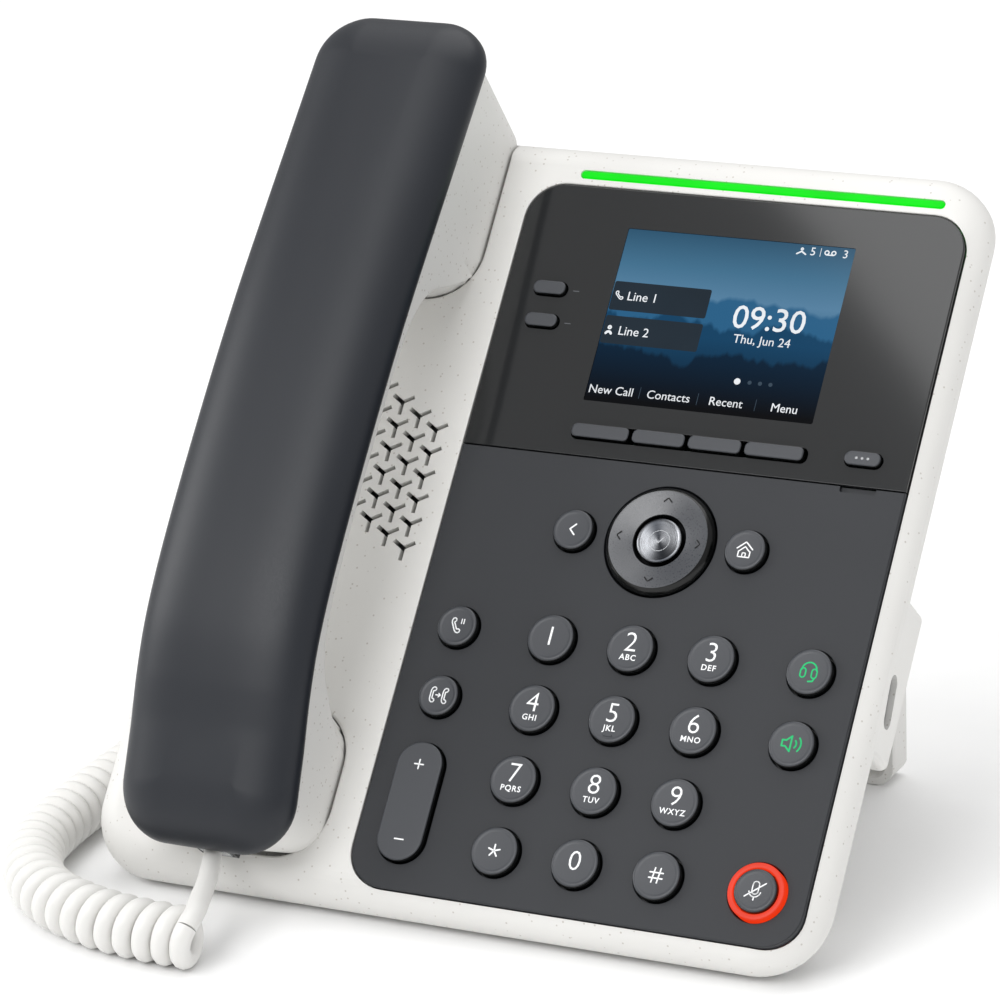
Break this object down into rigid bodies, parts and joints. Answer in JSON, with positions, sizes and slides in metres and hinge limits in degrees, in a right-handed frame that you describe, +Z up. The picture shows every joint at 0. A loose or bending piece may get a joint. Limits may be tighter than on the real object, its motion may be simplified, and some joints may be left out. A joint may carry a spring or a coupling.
{
  "type": "desk ip phone",
  "caption": "Desk telephone with a leaning face, colour display, key field, navigation ring, lift-off handset on a coiled cord and a fold-away rear leg.",
  "frame": {"origin": "on the desk, under the middle of the phone without its cord", "axes": "+X to the user's right, +Y away from the user, +Z up; the face leans back 50 degrees from level"},
  "size_m": [0.2083, 0.1768, 0.1865],
  "materials": {
    "light_shell": "satin moulded ABS, light warm grey with fine specks",
    "charcoal_plate": "fine matte texture, charcoal",
    "display_glass": "polished black window",
    "display_panel": "colour display module",
    "handset_cover": "satin blue charcoal",
    "key_plastic": "satin caps with printed symbols",
    "spun_metal": "turned face, fine rings",
    "green_light": "clear light bar, lit green",
    "red_light": "lit ring, orange red",
    "black_rubber": "matte",
    "circuit_board": "solder mask",
    "black_plastic": "moulded, fine texture",
    "steel": "drawn bar and stamped shell",
    "cord_jacket": "soft PVC, off-white",
    "clear_plastic": "clear polycarbonate"
  },
  "bodies": {
    "base": {"front_shell": "light_shell", "rear_housing": "light_shell", "keypad_plate": "charcoal_plate", "display_lens": "display_glass", "lcd_panel": "display_panel", "dome_mat": "black_rubber", "key_board": "circuit_board", "main_board": "circuit_board", "message_light_bar": "green_light", "mute_light_ring": "red_light", "loudspeaker": "black_plastic", "handset_jack": "black_plastic", "headset_jack": "black_plastic", "lan_jack": "black_plastic", "pc_jack": "black_plastic", "usb_c_port": "steel", "stand_hinge_pin": "steel", "foot_left": "black_rubber", "foot_right": "black_rubber", "cord_coil": "cord_jacket", "cord_base_lead": "cord_jacket", "base_plug": "clear_plastic"},
    "handset": {"handset_body": "light_shell", "handset_cover": "handset_cover", "earpiece_receiver": "black_plastic", "handset_microphone": "black_plastic", "handset_socket": "black_plastic", "handset_plug": "clear_plastic", "cord_tail": "cord_jacket"},
    "hook_plunger": {"hook_plunger": "black_plastic"},
    "stand_leg": {"stand_leg": "light_shell"},
    "volume_rocker": {"volume_rocker": "key_plastic"},
    "nav_ring": {"nav_ring": "key_plastic"},
    "select_button": {"select_button": "spun_metal"},
    "key_1": {"key_1": "key_plastic"},
    "key_2": {"key_2": "key_plastic"},
    "key_3": {"key_3": "key_plastic"},
    "key_4": {"key_4": "key_plastic"},
    "key_5": {"key_5": "key_plastic"},
    "key_6": {"key_6": "key_plastic"},
    "key_7": {"key_7": "key_plastic"},
    "key_8": {"key_8": "key_plastic"},
    "key_9": {"key_9": "key_plastic"},
    "key_star": {"key_star": "key_plastic"},
    "key_0": {"key_0": "key_plastic"},
    "key_pound": {"key_pound": "key_plastic"},
    "hold_key": {"hold_key": "key_plastic"},
    "transfer_key": {"transfer_key": "key_plastic"},
    "headset_key": {"headset_key": "key_plastic"},
    "speaker_key": {"speaker_key": "key_plastic"},
    "mute_key": {"mute_key": "key_plastic"},
    "back_key": {"back_key": "key_plastic"},
    "home_key": {"home_key": "key_plastic"},
    "line_key_1": {"line_key_1": "key_plastic"},
    "line_key_2": {"line_key_2": "key_plastic"},
    "more_key": {"more_key": "key_plastic"},
    "soft_key_1": {"soft_key_1": "key_plastic"},
    "soft_key_2": {"soft_key_2": "key_plastic"},
    "soft_key_3": {"soft_key_3": "key_plastic"},
    "soft_key_4": {"soft_key_4": "key_plastic"}
  },
  "joints": [
    {"name": "handset_lift", "type": "slide", "parent": "base", "child": "handset", "axis": [0, -0.766, 0.6428], "range_m": [0, 0.06]},
    {"name": "hook_travel", "type": "slide", "parent": "base", "child": "hook_plunger", "axis": [0, -0.766, 0.6428], "range_m": [0, 0.003]},
    {"name": "leg_fold", "type": "hinge", "parent": "base", "child": "stand_leg", "pos_m": [0, 0.0684, 0.104], "axis": [1, 0, 0], "range_deg": [-38, 0]},
    {"name": "volume_rock", "type": "hinge", "parent": "base", "child": "volume_rocker", "pos_m": [-0.01095, -0.0429, 0.02522], "axis": [1, 0, 0], "range_deg": [-2.5, 2.5], "stiffness_Nm_per_rad": 0.05},
    {"name": "nav_tilt", "type": "hinge", "parent": "base", "child": "nav_ring", "pos_m": [0.0328, 0.0006, 0.08001], "axis": [1, 0, 0], "range_deg": [-2.5, 2.5], "stiffness_Nm_per_rad": 0.05},
    {"name": "select_press", "type": "slide", "parent": "base", "child": "select_button", "axis": [0, 0.766, -0.6428], "range_m": [0, 0.0008], "stiffness_N_per_m": 450},
    {"name": "key_1_press", "type": "slide", "parent": "base", "child": "key_1", "axis": [0, 0.766, -0.6428], "range_m": [0, 0.001], "stiffness_N_per_m": 450},
    {"name": "key_2_press", "type": "slide", "parent": "base", "child": "key_2", "axis": [0, 0.766, -0.6428], "range_m": [0, 0.001], "stiffness_N_per_m": 450},
    {"name": "key_3_press", "type": "slide", "parent": "base", "child": "key_3", "axis": [0, 0.766, -0.6428], "range_m": [0, 0.001], "stiffness_N_per_m": 450},
    {"name": "key_4_press", "type": "slide", "parent": "base", "child": "key_4", "axis": [0, 0.766, -0.6428], "range_m": [0, 0.001], "stiffness_N_per_m": 450},
    {"name": "key_5_press", "type": "slide", "parent": "base", "child": "key_5", "axis": [0, 0.766, -0.6428], "range_m": [0, 0.001], "stiffness_N_per_m": 450},
    {"name": "key_6_press", "type": "slide", "parent": "base", "child": "key_6", "axis": [0, 0.766, -0.6428], "range_m": [0, 0.001], "stiffness_N_per_m": 450},
    {"name": "key_7_press", "type": "slide", "parent": "base", "child": "key_7", "axis": [0, 0.766, -0.6428], "range_m": [0, 0.001], "stiffness_N_per_m": 450},
    {"name": "key_8_press", "type": "slide", "parent": "base", "child": "key_8", "axis": [0, 0.766, -0.6428], "range_m": [0, 0.001], "stiffness_N_per_m": 450},
    {"name": "key_9_press", "type": "slide", "parent": "base", "child": "key_9", "axis": [0, 0.766, -0.6428], "range_m": [0, 0.001], "stiffness_N_per_m": 450},
    {"name": "key_star_press", "type": "slide", "parent": "base", "child": "key_star", "axis": [0, 0.766, -0.6428], "range_m": [0, 0.001], "stiffness_N_per_m": 450},
    {"name": "key_0_press", "type": "slide", "parent": "base", "child": "key_0", "axis": [0, 0.766, -0.6428], "range_m": [0, 0.001], "stiffness_N_per_m": 450},
    {"name": "key_pound_press", "type": "slide", "parent": "base", "child": "key_pound", "axis": [0, 0.766, -0.6428], "range_m": [0, 0.001], "stiffness_N_per_m": 450},
    {"name": "hold_key_press", "type": "slide", "parent": "base", "child": "hold_key", "axis": [0, 0.766, -0.6428], "range_m": [0, 0.001], "stiffness_N_per_m": 450},
    {"name": "transfer_key_press", "type": "slide", "parent": "base", "child": "transfer_key", "axis": [0, 0.766, -0.6428], "range_m": [0, 0.001], "stiffness_N_per_m": 450},
    {"name": "headset_key_press", "type": "slide", "parent": "base", "child": "headset_key", "axis": [0, 0.766, -0.6428], "range_m": [0, 0.001], "stiffness_N_per_m": 450},
    {"name": "speaker_key_press", "type": "slide", "parent": "base", "child": "speaker_key", "axis": [0, 0.766, -0.6428], "range_m": [0, 0.001], "stiffness_N_per_m": 450},
    {"name": "mute_key_press", "type": "slide", "parent": "base", "child": "mute_key", "axis": [0, 0.766, -0.6428], "range_m": [0, 0.001], "stiffness_N_per_m": 450},
    {"name": "back_key_press", "type": "slide", "parent": "base", "child": "back_key", "axis": [0, 0.766, -0.6428], "range_m": [0, 0.001], "stiffness_N_per_m": 450},
    {"name": "home_key_press", "type": "slide", "parent": "base", "child": "home_key", "axis": [0, 0.766, -0.6428], "range_m": [0, 0.001], "stiffness_N_per_m": 450},
    {"name": "line_key_1_press", "type": "slide", "parent": "base", "child": "line_key_1", "axis": [0, 0.766, -0.6428], "range_m": [0, 0.001], "stiffness_N_per_m": 450},
    {"name": "line_key_2_press", "type": "slide", "parent": "base", "child": "line_key_2", "axis": [0, 0.766, -0.6428], "range_m": [0, 0.001], "stiffness_N_per_m": 450},
    {"name": "more_key_press", "type": "slide", "parent": "base", "child": "more_key", "axis": [0, 0.766, -0.6428], "range_m": [0, 0.001], "stiffness_N_per_m": 450},
    {"name": "soft_key_1_press", "type": "slide", "parent": "base", "child": "soft_key_1", "axis": [0, 0.766, -0.6428], "range_m": [0, 0.001], "stiffness_N_per_m": 450},
    {"name": "soft_key_2_press", "type": "slide", "parent": "base", "child": "soft_key_2", "axis": [0, 0.766, -0.6428], "range_m": [0, 0.001], "stiffness_N_per_m": 450},
    {"name": "soft_key_3_press", "type": "slide", "parent": "base", "child": "soft_key_3", "axis": [0, 0.766, -0.6428], "range_m": [0, 0.001], "stiffness_N_per_m": 450},
    {"name": "soft_key_4_press", "type": "slide", "parent": "base", "child": "soft_key_4", "axis": [0, 0.766, -0.6428], "range_m": [0, 0.001], "stiffness_N_per_m": 450}
  ],
  "couplings": [
    {"joint": "hook_travel", "follows": "handset_lift", "ratio": 0.05}
  ]
}
